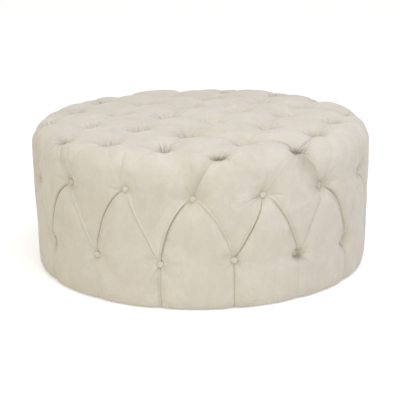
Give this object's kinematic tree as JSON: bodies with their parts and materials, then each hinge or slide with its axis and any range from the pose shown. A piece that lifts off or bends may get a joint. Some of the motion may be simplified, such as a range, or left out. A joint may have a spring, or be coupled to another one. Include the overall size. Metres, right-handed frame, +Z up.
{
  "type": "tuffet",
  "caption": "Low round velvet tuffet with a deep-buttoned, quilted top and side over a plywood frame, standing on small nail-on glides.",
  "frame": {"origin": "centre of the underside, on the floor, level with the feet of the glides", "axes": "+Z up; X and Y run along the square lattice of the top's buttons, and the object is the same each quarter turn"},
  "size_m": [0.9104, 0.9104, 0.407],
  "materials": {
    "velvet": "cream velvet, short soft nap",
    "button_velvet": "cream velvet over a metal button",
    "batting": "polyester batting",
    "foam": "upholstery foam",
    "plywood": "birch plywood, unfinished",
    "post_timber": "sawn pine",
    "hardboard": "tempered hardboard",
    "twine": "waxed tufting twine",
    "toggle_plastic": "moulded",
    "steel": "zinc plated",
    "dust_cloth": "black non-woven cloth",
    "glide_plastic": "black"
  },
  "bodies": {
    "root": {"cover": "velvet", "batting": "batting", "top_foam": "foam", "side_foam": "foam", "deck": "plywood", "base_ring": "plywood", "side_panel": "hardboard", "post_1": "post_timber", "post_2": "post_timber", "post_3": "post_timber", "post_4": "post_timber", "post_5": "post_timber", "post_6": "post_timber", "post_7": "post_timber", "post_8": "post_timber", "top_buttons": "button_velvet", "top_twines": "twine", "top_toggles": "toggle_plastic", "rim_buttons": "button_velvet", "rim_twines": "twine", "rim_toggles": "toggle_plastic", "upper_side_buttons": "button_velvet", "upper_side_twines": "twine", "upper_side_toggles": "toggle_plastic", "lower_side_buttons": "button_velvet", "lower_side_twines": "twine", "lower_side_toggles": "toggle_plastic", "deck_screws": "steel", "base_screws": "steel", "dust_cover": "dust_cloth", "cover_staples": "steel", "glides": "glide_plastic"}
  },
  "joints": []
}
